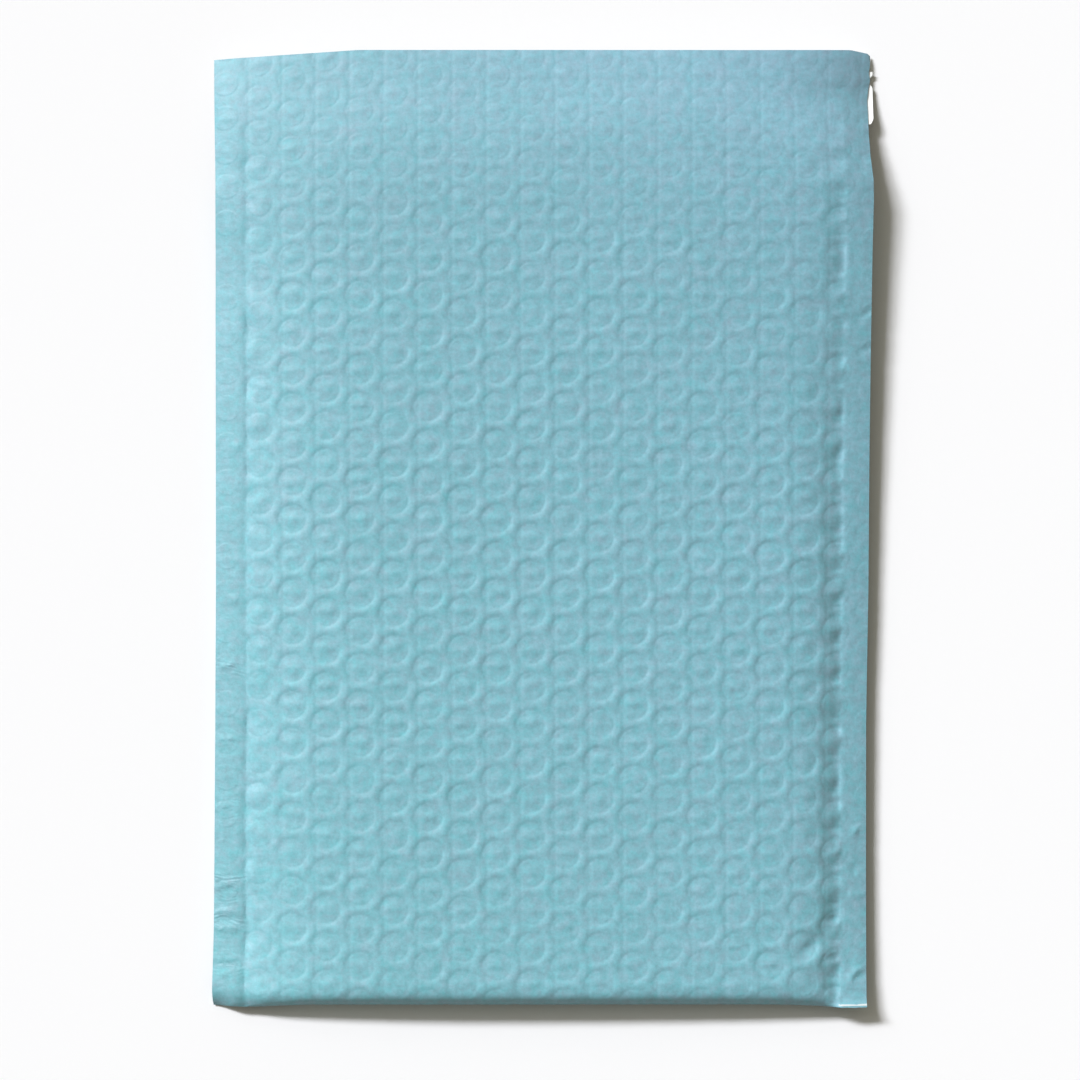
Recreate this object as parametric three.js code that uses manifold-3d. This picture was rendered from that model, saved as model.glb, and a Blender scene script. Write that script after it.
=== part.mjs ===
// A bubble-lined poly mailer lying flat on its front panel, back panel up, flap open.
// Millimetres, +Z up, +Y towards the flap. The origin is under the middle of the mailer.
import * as THREE from 'three';
import { mergeVertices } from 'three/addons/utils/BufferGeometryUtils.js';
import Module from 'manifold-3d';

// Driving dimensions of the bag
const mailerWidth = 216;
const pocketLength = 268.5;
const flapLength = 46.5;
const pocketThickness = 10;
const panelThickness = 2.6;
const flapThickness = 2.2;

// Side seals: where the two panels are welded into one thin strip
const leftSealWidth = 10.6;
const rightSealWidth = 8.9;
const sealThickness = 1.2;
const sealSlopeRun = 14;
const pocketInset = 5;
const pocketSlit = 0.4;

// Heights of the lying bag: the mouth gapes, and the flap comes down again
const liftLength = 183;
const mouthTop = 12.5;
const leftSealAtMouth = 8;
const rightSealAtMouth = 11.5;
const flapEndTop = 5.6;
const flapCurlWidth = 10;
const flapCurlDrop = 1.3;

// Outline: how far the edges leave a plain rectangle
const mouthFlare = 1;
const flapWaist = 1;
const flapWaistFromEnd = 20;
const footFlare = 0.7;
const flapCornerRadius = 3;
const flapCornerSlant = 3;
const flapCornerSlantRun = 38;

// Bottom fold: a half-round bend that stands a little proud of the panels
const foldProud = 0.2;

// Bubble marks
const bubbleColumns = 17.55;
const bubbleRows = 21.95;
const firstColumnInset = 4.2;
const lastRowInset = 7.4;
const bubbleDiameter = 10.2;
const bubbleDepth = 0.6;
const mouthHem = 9;

// Release liner under the flap
const linerWidth = 18.1;
const linerThickness = 0.35;
const linerFromEnd = 6.6;
const linerInset = 1.5;
const linerOverhang = 0.6;
const linerGap = 0.3;

// Reach of the cutting solids past what they cut, and of the cone that closes a relief sheet
const cutReach = 6;
const mouthOverlap = 1;
const coneReach = 2000;

// Derived places
const flapEnd = (pocketLength + flapLength) / 2;
const footEnd = -flapEnd;
const mouth = footEnd + pocketLength;
const leftEdge = -mailerWidth / 2;
const rightEdge = mailerWidth / 2;
const leftSealLine = leftEdge + leftSealWidth;
const rightSealLine = rightEdge - rightSealWidth;
const sealMiddle = pocketThickness / 2;
const foldRadius = pocketThickness / 2 + foldProud;
const foldCentre = footEnd + foldRadius;
const columnPitch = (rightSealLine - leftSealLine) / bubbleColumns;
const rowPitch = pocketLength / bubbleRows;
const bubbleRadius = bubbleDiameter / 2;
const aboveAll = Math.max(pocketThickness, mouthTop, leftSealAtMouth, rightSealAtMouth) + cutReach;

const wasm = await Module();
wasm.setup();

function solidOf(geometry) {
  geometry.deleteAttribute('normal');
  geometry.deleteAttribute('uv');
  const merged = mergeVertices(geometry, 1e-5);
  const vertProperties = new Float32Array(merged.attributes.position.array);
  const triVerts = new Uint32Array(merged.index.array);
  return new wasm.Manifold(new wasm.Mesh({ numProp: 3, vertProperties, triVerts }));
}

function geometryOf(solid) {
  const mesh = solid.getMesh();
  const geometry = new THREE.BufferGeometry();
  geometry.setAttribute('position', new THREE.BufferAttribute(mesh.vertProperties, 3));
  geometry.setIndex(new THREE.BufferAttribute(mesh.triVerts, 1));
  geometry.computeVertexNormals();
  return geometry;
}

function geometryFrom(points, triangles) {
  const geometry = new THREE.BufferGeometry();
  geometry.setAttribute('position', new THREE.Float32BufferAttribute(points.flat(), 3));
  geometry.setIndex(triangles.flat());
  return geometry;
}

function smooth(t) {
  return THREE.MathUtils.smoothstep(t, 0, 1);
}

// Share of the way from the flat pocket to its lifted mouth
function lift(y) {
  return THREE.MathUtils.clamp((y - mouth) / liftLength + 1, 0, 1) ** 2;
}

// Share of the way from the mouth to the flap's free end
function alongFlap(y) {
  return THREE.MathUtils.clamp((y - mouth) / flapLength, 0, 1);
}

// Nearness to a side seal: 1 on the seal, 0 where the panel has its full height
function nearLeftSeal(x) {
  return 1 - smooth((x - leftSealLine) / sealSlopeRun);
}

function nearRightSeal(x) {
  return 1 - smooth((rightSealLine - x) / sealSlopeRun);
}

// Middle height of the two seals along the pocket
function leftSealHeight(y) {
  return sealMiddle + (leftSealAtMouth - sealMiddle) * lift(y);
}

function rightSealHeight(y) {
  return sealMiddle + (rightSealAtMouth - sealMiddle) * lift(y);
}

// Outer face of the back panel and flap, without bubble marks
function backFace(x, y) {
  const pocketTop = pocketThickness + (mouthTop - pocketThickness) * lift(y);
  const crown = pocketTop + (flapEndTop - mouthTop) * smooth(alongFlap(y));
  const sealed = 1 - smooth(2 * alongFlap(y));
  const left = (leftSealHeight(y) + sealThickness / 2 - pocketTop) * nearLeftSeal(x);
  const right = (rightSealHeight(y) + sealThickness / 2 - pocketTop) * nearRightSeal(x);
  const curl = Math.max(0, (x - rightEdge) / flapCurlWidth + 1) ** 2;
  return crown + sealed * (left + right) - flapCurlDrop * curl * smooth(alongFlap(y));
}

// Outer face of the front panel, without bubble marks; it ends a little past the mouth
function frontFace(x, y) {
  if (y > mouth + rowPitch / 2) {
    return 0;
  }
  const left = (leftSealHeight(y) - sealThickness / 2) * nearLeftSeal(x);
  const right = (rightSealHeight(y) - sealThickness / 2) * nearRightSeal(x);
  return left + right;
}

// Bubble lattice: straight columns, every second one half a pitch lower, reaching past all edges
const firstColumn = -Math.ceil((leftSealWidth + firstColumnInset) / columnPitch) - 1;
const lastColumn = Math.ceil((mailerWidth - leftSealWidth) / columnPitch) + 1;
const firstRow = -Math.ceil(lastRowInset / rowPitch) - 1;
const lastRow = Math.ceil((pocketLength + flapLength) / rowPitch) + 1;

function isStaggered(column) {
  return Math.abs(column % 2) === 1;
}

function bubbleCentre(column, row) {
  const shift = isStaggered(column) ? -0.5 : 0;
  return {
    x: leftSealLine + firstColumnInset + column * columnPitch,
    y: footEnd + lastRowInset + (row + shift) * rowPitch,
  };
}

function neighbour(column, row, side, up) {
  const low = isStaggered(column) ? row - 1 : row;
  return [column + side, up ? low + 1 : low];
}

function eachCell(visit) {
  for (let column = firstColumn; column <= lastColumn; column += 1) {
    for (let row = firstRow; row <= lastRow; row += 1) {
      visit(column, row);
    }
  }
}

function isBetweenSeals(x) {
  return x > leftSealLine && x < rightSealLine;
}

// On the back a bubble shows between the seals, and anywhere on the flap
function hasBackBubble({ x, y }) {
  const isOnFlap = y > mouth + bubbleRadius;
  return isOnFlap || (isBetweenSeals(x) && y > foldCentre);
}

// The front has a plain hem at the mouth, and a plain stretch beside the fold
function hasFrontBubble({ x, y }) {
  return isBetweenSeals(x) && y > foldCentre + bubbleRadius && y < mouth - mouthHem;
}

// Bubble marks grow shallow where the lining is crushed towards a seal
function bubbleDepthAt(x) {
  return bubbleDepth * (1 - (nearLeftSeal(x) + nearRightSeal(x)) ** 2);
}

// Closes an open sheet by a cone from its rim to one far point, which later cuts trim away
function closeByCone(points, triangles, apexHeight) {
  const open = new Map();
  for (const [a, b, c] of triangles) {
    for (const [from, to] of [[a, b], [b, c], [c, a]]) {
      if (!open.delete(`${to},${from}`)) {
        open.set(`${from},${to}`, [to, from]);
      }
    }
  }
  const apex = points.length;
  points.push([0, 0, apexHeight]);
  for (const [from, to] of open.values()) {
    triangles.push([from, to, apex]);
  }
  return solidOf(geometryFrom(points, triangles));
}

// Everything below the back face: each bubble is a six-sided dish with a flat land around it
function belowBackFace() {
  const points = [];
  const triangles = [];
  const cells = new Map();
  const addPoint = (x, y, depth) => points.push([x, y, backFace(x, y) - depth]) - 1;
  const addTriangle = (a, b, c) => {
    if (a !== b && b !== c && c !== a) {
      triangles.push([a, b, c]);
    }
  };
  eachCell((column, row) => {
    const centre = bubbleCentre(column, row);
    const dished = hasBackBubble(centre);
    const depth = dished ? bubbleDepthAt(centre.x) : 0;
    const middle = addPoint(centre.x, centre.y, depth);
    const rim = [];
    for (let side = 0; side < 6; side += 1) {
      const angle = side * Math.PI / 3;
      const x = centre.x + bubbleRadius * Math.cos(angle);
      const y = centre.y + bubbleRadius * Math.sin(angle);
      rim.push(dished ? addPoint(x, y, 0) : middle);
    }
    rim.forEach((corner, side) => addTriangle(middle, corner, rim[(side + 1) % 6]));
    cells.set(`${column},${row}`, rim);
  });
  const addLand = (rim, k, other, m) => {
    if (other) {
      addTriangle(rim[k], other[(m + 1) % 6], other[m]);
      addTriangle(rim[k], other[m], rim[(k + 1) % 6]);
    }
  };
  const addCorner = (rim, k, second, m, third, n) => {
    if (second && third) {
      addTriangle(rim[k], second[m], third[n]);
    }
  };
  eachCell((column, row) => {
    const rim = cells.get(`${column},${row}`);
    const above = cells.get(`${column},${row + 1}`);
    const upper = cells.get(neighbour(column, row, 1, true).join());
    const lower = cells.get(neighbour(column, row, 1, false).join());
    addLand(rim, 0, upper, 3);
    addLand(rim, 5, lower, 2);
    addLand(rim, 1, above, 4);
    addCorner(rim, 0, lower, 2, upper, 4);
    addCorner(rim, 1, upper, 3, above, 5);
  });
  return closeByCone(points, triangles, -coneReach);
}

// Everything above the front face: each bubble is a plain six-sided dish
function aboveFrontFace() {
  const points = [];
  const triangles = [];
  const corners = new Map();
  const addPoint = (x, y, depth) => points.push([x, y, frontFace(x, y) + depth]) - 1;
  const cornerOf = (column, row, isUpper) => {
    const key = `${column},${row},${isUpper}`;
    if (!corners.has(key)) {
      const { x, y } = bubbleCentre(column, row);
      const across = columnPitch * (isUpper ? 1 : 2) / 3;
      const along = isUpper ? rowPitch / 2 : 0;
      corners.set(key, addPoint(x + across, y + along, 0));
    }
    return corners.get(key);
  };
  eachCell((column, row) => {
    const centre = bubbleCentre(column, row);
    const upperLeft = neighbour(column, row, -1, true);
    const lowerLeft = neighbour(column, row, -1, false);
    const rim = [
      cornerOf(column, row, false),
      cornerOf(column, row, true),
      cornerOf(...upperLeft, false),
      cornerOf(...lowerLeft, true),
      cornerOf(...lowerLeft, false),
      cornerOf(column, row - 1, true),
    ];
    const depth = hasFrontBubble(centre) ? bubbleDepthAt(centre.x) : 0;
    const middle = addPoint(centre.x, centre.y, depth);
    rim.forEach((corner, side) => triangles.push([middle, rim[(side + 1) % 6], corner]));
  });
  return closeByCone(points, triangles, coneReach);
}

// The mailer's outline from above, as an upright prism
function outlinePrism() {
  const outline = new THREE.Shape();
  outline.moveTo(leftEdge - footFlare, footEnd - cutReach);
  outline.lineTo(rightEdge - footFlare, footEnd - cutReach);
  outline.lineTo(rightEdge - footFlare, footEnd);
  outline.lineTo(rightEdge + mouthFlare, mouth - flapCornerRadius);
  outline.lineTo(rightEdge + mouthFlare, mouth + flapCornerRadius);
  outline.lineTo(rightEdge - flapWaist, flapEnd - flapWaistFromEnd);
  outline.lineTo(rightEdge, flapEnd - flapCornerRadius);
  outline.quadraticCurveTo(rightEdge, flapEnd, rightEdge - flapCornerRadius, flapEnd);
  outline.lineTo(leftEdge + flapCornerSlantRun, flapEnd);
  outline.lineTo(leftEdge, flapEnd - flapCornerSlant);
  outline.lineTo(leftEdge, footEnd + leftSealWidth);
  const depth = aboveAll + cutReach;
  const prism = new THREE.ExtrudeGeometry(outline, { depth, bevelEnabled: false, curveSegments: 4 });
  prism.translate(0, 0, -cutReach);
  return solidOf(prism);
}

// The side profile: a half-round bottom fold, open above and below past it
function foldProfile() {
  const profile = new THREE.Shape();
  profile.moveTo(flapEnd + cutReach, -cutReach);
  profile.lineTo(flapEnd + cutReach, aboveAll);
  profile.lineTo(foldCentre, aboveAll);
  profile.absarc(foldCentre, sealMiddle, foldRadius, Math.PI / 2, 3 * Math.PI / 2, false);
  profile.lineTo(foldCentre, -cutReach);
  const depth = mailerWidth + 4 * cutReach;
  const prism = new THREE.ExtrudeGeometry(profile, { depth, bevelEnabled: false, curveSegments: 12 });
  const toYZ = new THREE.Matrix4().makeBasis(
    new THREE.Vector3(0, 1, 0),
    new THREE.Vector3(0, 0, 1),
    new THREE.Vector3(1, 0, 0),
  );
  prism.applyMatrix4(toYZ);
  prism.translate(-depth / 2, 0, 0);
  return solidOf(prism);
}

// A slab over a grid of plan places, between two height functions
function gridSlab(columns, rows, topOf, bottomOf) {
  const points = [];
  const triangles = [];
  for (const heightOf of [bottomOf, topOf]) {
    rows.forEach((y) => columns.forEach((x) => points.push([x, y, heightOf(x, y)])));
  }
  const wide = columns.length;
  const layer = wide * rows.length;
  const addQuad = (a, b, c, d) => triangles.push([a, b, c], [a, c, d]);
  for (let row = 0; row + 1 < rows.length; row += 1) {
    for (let column = 0; column + 1 < wide; column += 1) {
      const a = row * wide + column;
      addQuad(a, a + wide, a + wide + 1, a + 1);
      addQuad(a + layer, a + layer + 1, a + layer + wide + 1, a + layer + wide);
    }
  }
  for (let column = 0; column + 1 < wide; column += 1) {
    const last = layer - wide + column;
    addQuad(column, column + 1, column + 1 + layer, column + layer);
    addQuad(last + 1, last, last + layer, last + 1 + layer);
  }
  for (let row = 0; row + 1 < rows.length; row += 1) {
    const a = row * wide;
    const b = a + wide - 1;
    addQuad(a + wide, a, a + layer, a + wide + layer);
    addQuad(b, b + wide, b + wide + layer, b + layer);
  }
  return solidOf(geometryFrom(points, triangles));
}

function evenly(from, to, steps) {
  return Array.from({ length: steps + 1 }, (_, k) => from + (to - from) * k / steps);
}

// The room in the pocket: rounded at the fold, a slit beside the seals, open past the mouth
function pocketRoom() {
  const innerRadius = foldRadius - panelThickness;
  const columns = [
    ...evenly(leftSealLine + pocketInset, leftSealLine + sealSlopeRun, 3),
    0,
    ...evenly(rightSealLine - sealSlopeRun, rightSealLine - pocketInset, 3),
  ];
  const roomEnd = foldCentre - innerRadius + pocketSlit / 2;
  const rows = [
    ...evenly(roomEnd, foldCentre, 4),
    ...evenly(foldCentre, mouth, 10).slice(1),
    mouth + mouthOverlap,
  ];
  const fullness = (y) => Math.sqrt(1 - Math.min(0, (y - foldCentre) / innerRadius) ** 2);
  const middle = (x, y) => (backFace(x, y) + frontFace(x, y)) / 2;
  const halfRoom = (x, y) => {
    const halfBag = (backFace(x, y) - frontFace(x, y)) / 2;
    return Math.max(pocketSlit / 2, halfBag - panelThickness) * fullness(y);
  };
  const ceiling = (x, y) => middle(x, y) + halfRoom(x, y);
  const floor = (x, y) => middle(x, y) - halfRoom(x, y);
  return gridSlab(columns, rows, ceiling, floor);
}

// Grid of the flap's under face, and that face
const flapColumns = [
  ...evenly(leftEdge - cutReach, leftSealLine + sealSlopeRun, 4),
  0,
  ...evenly(rightSealLine - sealSlopeRun, rightEdge + cutReach, 6),
];
const flapRows = [...evenly(mouth, flapEnd, 8), flapEnd + cutReach];

function flapUnderFace(x, y) {
  return backFace(x, y) - flapThickness;
}

function roomUnderFlap() {
  return gridSlab(flapColumns, flapRows, flapUnderFace, () => -cutReach);
}

function makeBag() {
  return belowBackFace()
    .intersect(aboveFrontFace())
    .intersect(outlinePrism())
    .intersect(foldProfile())
    .subtract(pocketRoom())
    .subtract(roomUnderFlap());
}

// The liner follows the flap's under face and ends a little past the flap's right edge
function makeLiner() {
  const top = (x, y) => flapUnderFace(x, y) - linerGap;
  const bottom = (x, y) => top(x, y) - linerThickness;
  const sheet = gridSlab(flapColumns, flapRows, top, bottom);
  const length = mailerWidth - linerInset + linerOverhang;
  const strip = new THREE.BoxGeometry(length, linerWidth, 2 * aboveAll);
  const middle = (linerInset + linerOverhang) / 2;
  strip.translate(middle, flapEnd - linerFromEnd - linerWidth / 2, 0);
  return sheet.intersect(solidOf(strip));
}

function namedMesh(name, solid, color, roughness) {
  const material = new THREE.MeshStandardMaterial({ color, roughness, metalness: 0 });
  const mesh = new THREE.Mesh(geometryOf(solid), material);
  mesh.name = name;
  return mesh;
}

const mailer = new THREE.Group();
mailer.add(namedMesh('mailer_bag', makeBag(), 0x82becd, 0.45));
mailer.add(namedMesh('release_liner', makeLiner(), 0xf3f4f2, 0.6));

export default mailer;
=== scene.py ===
"""Dresses a bubble-lined poly mailer: embossed film, release strip, floor, light and camera."""
import math

import bmesh
import bpy
import numpy as np
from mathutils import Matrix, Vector, noise
from mathutils.geometry import delaunay_2d_cdt


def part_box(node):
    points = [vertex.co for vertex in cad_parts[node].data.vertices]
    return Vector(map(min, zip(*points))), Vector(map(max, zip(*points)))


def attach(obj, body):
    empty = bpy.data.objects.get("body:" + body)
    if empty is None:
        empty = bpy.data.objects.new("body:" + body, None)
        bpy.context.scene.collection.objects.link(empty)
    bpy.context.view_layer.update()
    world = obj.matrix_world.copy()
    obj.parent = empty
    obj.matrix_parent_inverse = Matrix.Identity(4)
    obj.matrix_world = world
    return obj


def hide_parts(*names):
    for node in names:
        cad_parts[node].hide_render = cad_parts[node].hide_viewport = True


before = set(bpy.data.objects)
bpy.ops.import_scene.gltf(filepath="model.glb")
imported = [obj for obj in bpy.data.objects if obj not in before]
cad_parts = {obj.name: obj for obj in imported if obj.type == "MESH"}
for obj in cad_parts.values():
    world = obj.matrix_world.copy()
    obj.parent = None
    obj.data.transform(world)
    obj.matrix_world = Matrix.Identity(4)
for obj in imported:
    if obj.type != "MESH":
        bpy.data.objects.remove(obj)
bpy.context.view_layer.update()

MM = 0.001


def linear(red, green, blue):
    """A colour as a screen shows it, from 0 to 255, as Blender's linear colour."""
    shares = [value / 255 for value in (red, green, blue)]
    return tuple(((share + 0.055) / 1.055) ** 2.4 for share in shares) + (1.0,)


# The mailer's cut, from the frame and its driving sizes
bag_low, bag_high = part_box("mailer_bag")
FOOT_END = bag_low[1]
FLAP_END = bag_high[1]
MAILER_WIDTH = 216 * MM
FLAP_LENGTH = 46.5 * MM
LEFT_EDGE = -MAILER_WIDTH / 2
RIGHT_EDGE = MAILER_WIDTH / 2
MOUTH = FLAP_END - FLAP_LENGTH

# Heat seals down both sides
LEFT_SEAL_LINE = LEFT_EDGE + 10.6 * MM
RIGHT_SEAL_LINE = RIGHT_EDGE - 8.9 * MM
SEAL_THICKNESS = 1.2 * MM
SEAL_HEIGHT_LEFT = 3.4 * MM
SEAL_HEIGHT_RIGHT = 4.85 * MM
SEAL_RISE_LEFT = 3.6 * MM
SEAL_RISE_RIGHT = 4.9 * MM
LEFT_BOW_SLOPE = 0.24
LEFT_BOW_EASE = 0.19
LEFT_BOW_EASE_POWER = 1.5
LEFT_BOW_FALL = 4.0
RIGHT_BOW_SLOPE = 0.115
RIGHT_MOUTH_BOW = 0.06
RIGHT_MOUTH_RUN = 20 * MM
SEAL_FALL_RIGHT = 1.6 * MM
SEAL_FALL_BEND = 0.25
SEAL_FALL_START = 0.5 * MM
SEAL_FALL_RUN = 26 * MM
RIGHT_BOW_EASE = 0.08
RIGHT_BOW_EASE_RUN = 50 * MM
RIGHT_BOW_FALL = 6.0
SEAL_VALLEY_LEFT = 0.30 * MM
SEAL_VALLEY_WIDTH = 1.1 * MM
SEAL_WANDER = 0.7 * MM
SEAL_EDGE_RUN = 1 * MM
SEAL_END_START = 2 * MM
SEAL_END_RUN = 6 * MM
PAST_FOOT_MOST = 1.1
LEFT_MOUTH_RISE = 1.1 * MM
LEFT_MOUTH_RUN = 30 * MM
LEFT_FOOT_RISE = 2.6 * MM
LEFT_FOOT_RUN = 40.0 * MM
LEFT_FOOT_BEND = 2.0 * MM
LEFT_BEND_RUN = 6.0 * MM
LEFT_CORNER_DIP = 2.0 * MM
LEFT_CORNER_RUN = 7.0 * MM
LEFT_CORNER_WIDTH = 8.0 * MM
RIGHT_CORNER_CURL = 1.3 * MM
RIGHT_CORNER_RUN = 16.0 * MM
RIGHT_LIP = 0.75 * MM
RIGHT_LIP_RUN = 2.2 * MM
RIGHT_LIP_INSIDE = 6.0 * MM
RIGHT_LIP_GROOVE = 0.2 * MM
RIGHT_GROOVE_AT = 3.4 * MM
RIGHT_GROOVE_WIDTH = 1.3 * MM

# Pocket heights
POCKET_TOP = 11.2 * MM
FOOT_TOP_DROP = 1.5 * MM
FOOT_TOP_RUN = 7.5 * MM
FOOT_DROP_SPREAD = 20 * MM
MOUTH_TOP = 14.0 * MM
LIFT_LENGTH = 215 * MM
CROWN_DROP_LEFT = 2.2 * MM
CROWN_POWER_LEFT = 3
CROWN_DROP_RIGHT = 2.2 * MM
CROWN_POWER_RIGHT = 2
SWELL_RUN_LEFT = 13.0 * MM
SWELL_RUN_RIGHT = 5.2 * MM
SWELL_EASE_RIGHT = 2.0 * MM
FOOT_STEEPER_LEFT = 0.42
FOOT_STEEPER_RIGHT = 0.3
FOOT_STEEPER_RUN = 32 * MM
SETTLE_RUN = 6.0 * MM

# The flap: an arch that falls a little towards its free end and bends down at both sides
FLAP_END_TOP = 11.5 * MM
FLAP_FALL_POWER = 1.5
ARCH_FLAT = 20 * MM
ARCH_DROP_LEFT = 5.2 * MM
ARCH_POWER_LEFT = 3
ARCH_MOUTH_RIGHT = 5.3 * MM
ARCH_DROP_RIGHT = 10.8 * MM
ARCH_POWER_RIGHT = 4
ARCH_FULL_AT = 0.62
ARCH_END_EASE = 0.9 * MM
ARCH_EASE_START = 0.68
ARCH_EASE_RUN = 0.32
LOOSE_RUN_LEFT = 36 * MM
LOOSE_RUN_RIGHT = 24 * MM
LOOSE_START_RIGHT = 11 * MM
LEFT_TUCK = 0.6 * MM
LEFT_TUCK_RUN = 9 * MM
DEEPER_TUCK = 1.6
DEEPER_TUCK_AT = 138 * MM
DEEPER_TUCK_RUN = 11 * MM
TUCK_START = 12 * MM
TOP_CORNER_DIP = 0.6 * MM
TOP_CORNER_WIDTH = 9 * MM
TOP_CORNER_RUN = 7 * MM
ARCH_PULL = 0.21
ARCH_PULL_LEVEL = 4.5 * MM

# The bottom fold and the web's flat length, from the front's mouth edge to the flap's free end
FOLD_RADIUS = 5.2 * MM
FOLD_CENTRE = FOOT_END + FOLD_RADIUS
FOLD_START = MOUTH - FOLD_CENTRE
FOLD_STOP = FOLD_START + math.pi * FOLD_RADIUS
WEB_LENGTH = FOLD_STOP + FLAP_END - FOLD_CENTRE
FOLD_REACH = 5.3 * MM
FOLD_TIP_SHARE = 0.22
FOLD_TIP_RUN = 12 * MM
LEFT_CORNER_REACH = 0.6 * MM
RIGHT_CORNER_REACH = 0.3 * MM
CORNER_REACH_RUN = 22 * MM
FOLD_FLAT_TURN = math.radians(28)

# Thickness of the web: film with its bubble lining, crushed at the seals and the cut edges
PANEL_WALL = 2.2 * MM
SEAL_WALL = 0.55 * MM
EDGE_WALL = 0.4 * MM
EDGE_WALL_RUN = 4.0 * MM

# Meshing of the web
LINING_STEP = 5 * MM
SEAL_LINING_STEP = 2.5 * MM
SEAL_LINING_OFFSETS = tuple(offset * MM for offset in (-1.2, -0.4, 0.4, 1.2, 2.4, 3.8))
LINING_FOLD_STEPS = 10
SEAL_LINING_FOLD_STEPS = 18
LINING_WELD = 0.0001 * MM
CELL_WELD = 0.001 * MM
CUT_WELD = 0.01 * MM

# Bubble lattice: straight columns, every second one half a pitch lower
COLUMN_PITCH = 11.19 * MM
ROW_PITCH = 12.19 * MM
FIRST_COLUMN = -93.0 * MM
FIRST_BUBBLE = 7.9 * MM
FIRST_ROW = FOLD_STOP + FOOT_END + FIRST_BUBBLE - FOLD_CENTRE
COLUMN_RANGE = range(-2, 20)
ROW_RANGE = range(-25, 29)
LAND_RADIUS = 6.05 * MM
GROOVE_RADIUS = 4.1 * MM
RING_ACROSS = 0.95
GROOVE_DEPTH = 0.27 * MM
DOME_LEFT = 4.0 * MM
DOME_RIGHT = 2.8 * MM
DOME_ALONG = 2.2 * MM
DOME_ROUND_ACROSS = 2.2
DOME_ROUND_ALONG = 1.6
DOME_RISE = 0.26 * MM
CREASE_DEPTH = 0.09 * MM
CREASE_WIDTH = 0.75 * MM
CREASE_REACH = 3.6 * MM
DENT_DEPTH = 0.08 * MM
DENT_WIDTH = 1.2 * MM
GHOST_SHARE = 0.35
FLAP_WALL_SHARE = 0.58
FLAP_SIDE_SHARE = 0.55
FLAP_SIDE_RUN = 6 * MM
MARK_STATIONS = (
    # place along the mailer, and how strong the bubble marks are there
    (-157.5 * MM, 0.84),
    (-121.0 * MM, 0.84),
    (-93.0 * MM, 0.92),
    (-9.0 * MM, 0.96),
    (19.0 * MM, 0.90),
    (47.0 * MM, 0.77),
    (75.0 * MM, 0.71),
    (91.0 * MM, 0.69),
    (107.0 * MM, 0.66),
    (122.0 * MM, 0.61),
    (134.0 * MM, 0.57),
    (157.5 * MM, 0.56),
)
FADE_START = 80 * MM
FADE_RUN = 50 * MM
SLOPE_MARK_SHARE = 0.38
SLOPE_MARK_RUN = 11 * MM
MOUTH_HEM = 9 * MM
BACK_RINGS = tuple(r * MM for r in (5.7, 5.15, 4.6, 3.95, 3.2, 2.3, 1.2))
FOLD_RINGS = tuple(r * MM for r in (5.1, 4.1, 3.1, 2.1, 1.1))
FRONT_RINGS = (4.4 * MM,)
POINTS_PER_SIDE = 3
BUBBLE_INSIDE = 3.8 * MM
BUBBLE_INSIDE_EDGE = 1.0 * MM
HEM_FADE = 2 * MM

# How bubbles differ: from least to most, or a middle and its spread
LATTICE_SEED = 11
GROOVE_RANGE = (0.8, 1.2)
UNEVEN_RANGE = (0.0, 0.3)
DOME_RANGE = (0.75, 1.25)
STRETCH_RANGE = (0.9, 1.1)
DOME_OFF_ACROSS = (0.4 * MM, 0.33 * MM)
DOME_OFF_ALONG = (0.3 * MM, 0.32 * MM)
CREASE_OFF = (-0.3 * MM, 0.9 * MM)
CREASE_TILT = (0.0, 0.22)
CREASE_STRENGTH = (0.15, 0.75)
DENT_OFF_ACROSS = (0.8 * MM, 1.4 * MM)
DENT_OFF_ALONG = (-0.6 * MM, 1.4 * MM)
DENT_STRENGTH = (0.2, 0.8)

# Outline stations in millimetres: place along the mailer, and how far the side stands out there
LEFT_STATIONS = (
    (-157.5, -0.7),
    (-150.0, -0.6),
    (-133.0, -0.3),
    (-75.0, 0.0),
    (-20.0, 0.3),
    (70.0, 0.35),
    (113.0, 0.6),
    (140.0, 0.3),
    (157.5, 0.2),
)
RIGHT_STATIONS = (
    (-157.5, -0.9),
    (-65.0, -0.9),
    (-20.0, -0.2),
    (25.0, 0.0),
    (60.0, 0.3),
    (92.0, 0.7),
    (107.0, 1.0),
    (114.0, 0.9),
    (122.0, 0.1),
    (130.0, -0.2),
    (141.0, -0.25),
    (144.4, 0.1),
    (146.0, 0.5),
    (147.3, 0.75),
    (148.6, 0.55),
    (149.8, 0.3),
    (152.5, 0.6),
    (157.5, 0.9),
)
SIDE_FADE = 40 * MM
LEFT_SLANT = 3.2 * MM
LEFT_SLANT_RUN = 48 * MM
LEFT_SLANT_FADE = 60 * MM
RIGHT_SLANT = 1.3 * MM
RIGHT_SLANT_RUN = 7 * MM
RIGHT_CORNER_RADIUS = 0.9 * MM
RIGHT_CORNER_FADE = 10 * MM

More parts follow.
